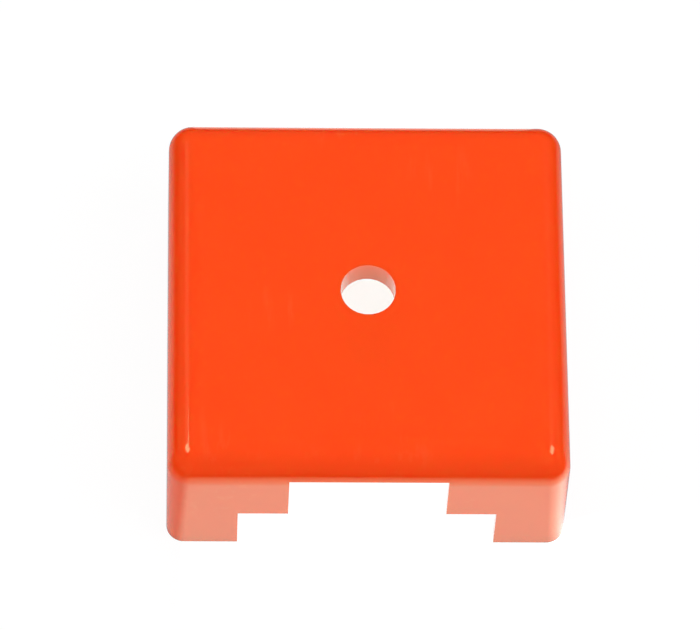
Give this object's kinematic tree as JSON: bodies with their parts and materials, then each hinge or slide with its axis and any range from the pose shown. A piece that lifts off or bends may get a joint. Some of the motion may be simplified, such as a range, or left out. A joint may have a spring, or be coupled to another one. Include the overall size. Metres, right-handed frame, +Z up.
{
  "type": "pheromone insect trap",
  "caption": "Floor-standing insect trap: a square orange hood with stepped doorways and a roof socket over a clear tray, a sliding glue card and a swivelling lure cage.",
  "frame": {"origin": "middle of the base, on the surface the trap stands on", "axes": "+Z up through the roof socket, -Y towards the front doorway, +X to the right of someone facing that doorway"},
  "size_m": [0.08, 0.08, 0.0333],
  "materials": {
    "hood_plastic": "glossy orange injection moulding",
    "clear_plastic": "clear polystyrene",
    "card_plastic": "clear polyester sheet",
    "glue": "clear, faintly yellow wet glue",
    "cage_plastic": "natural white polypropylene",
    "lure_rubber": "dull red natural rubber"
  },
  "bodies": {
    "tray": {"base_tray": "clear_plastic"},
    "card": {"glue_card": "card_plastic", "glue_film": "glue"},
    "hood": {"cover": "hood_plastic"},
    "cage": {"lure_cage": "cage_plastic", "lure_septum": "lure_rubber"},
    "gate": {"cage_gate": "cage_plastic"}
  },
  "joints": [
    {"name": "hood_lift", "type": "slide", "parent": "tray", "child": "hood", "axis": [0, 0, 1], "range_m": [0, 0.06]},
    {"name": "card_slide", "type": "slide", "parent": "tray", "child": "card", "axis": [0, -1, 0], "range_m": [0, 0.065]},
    {"name": "cage_swivel", "type": "hinge", "parent": "hood", "child": "cage", "pos_m": [0, 0, 0.0295], "axis": [0, 0, 1], "continuous": true},
    {"name": "gate_hinge", "type": "hinge", "parent": "cage", "child": "gate", "pos_m": [0.0116, -0.0265, 0.0214], "axis": [0, 0, -1], "range_deg": [0, 110]}
  ]
}
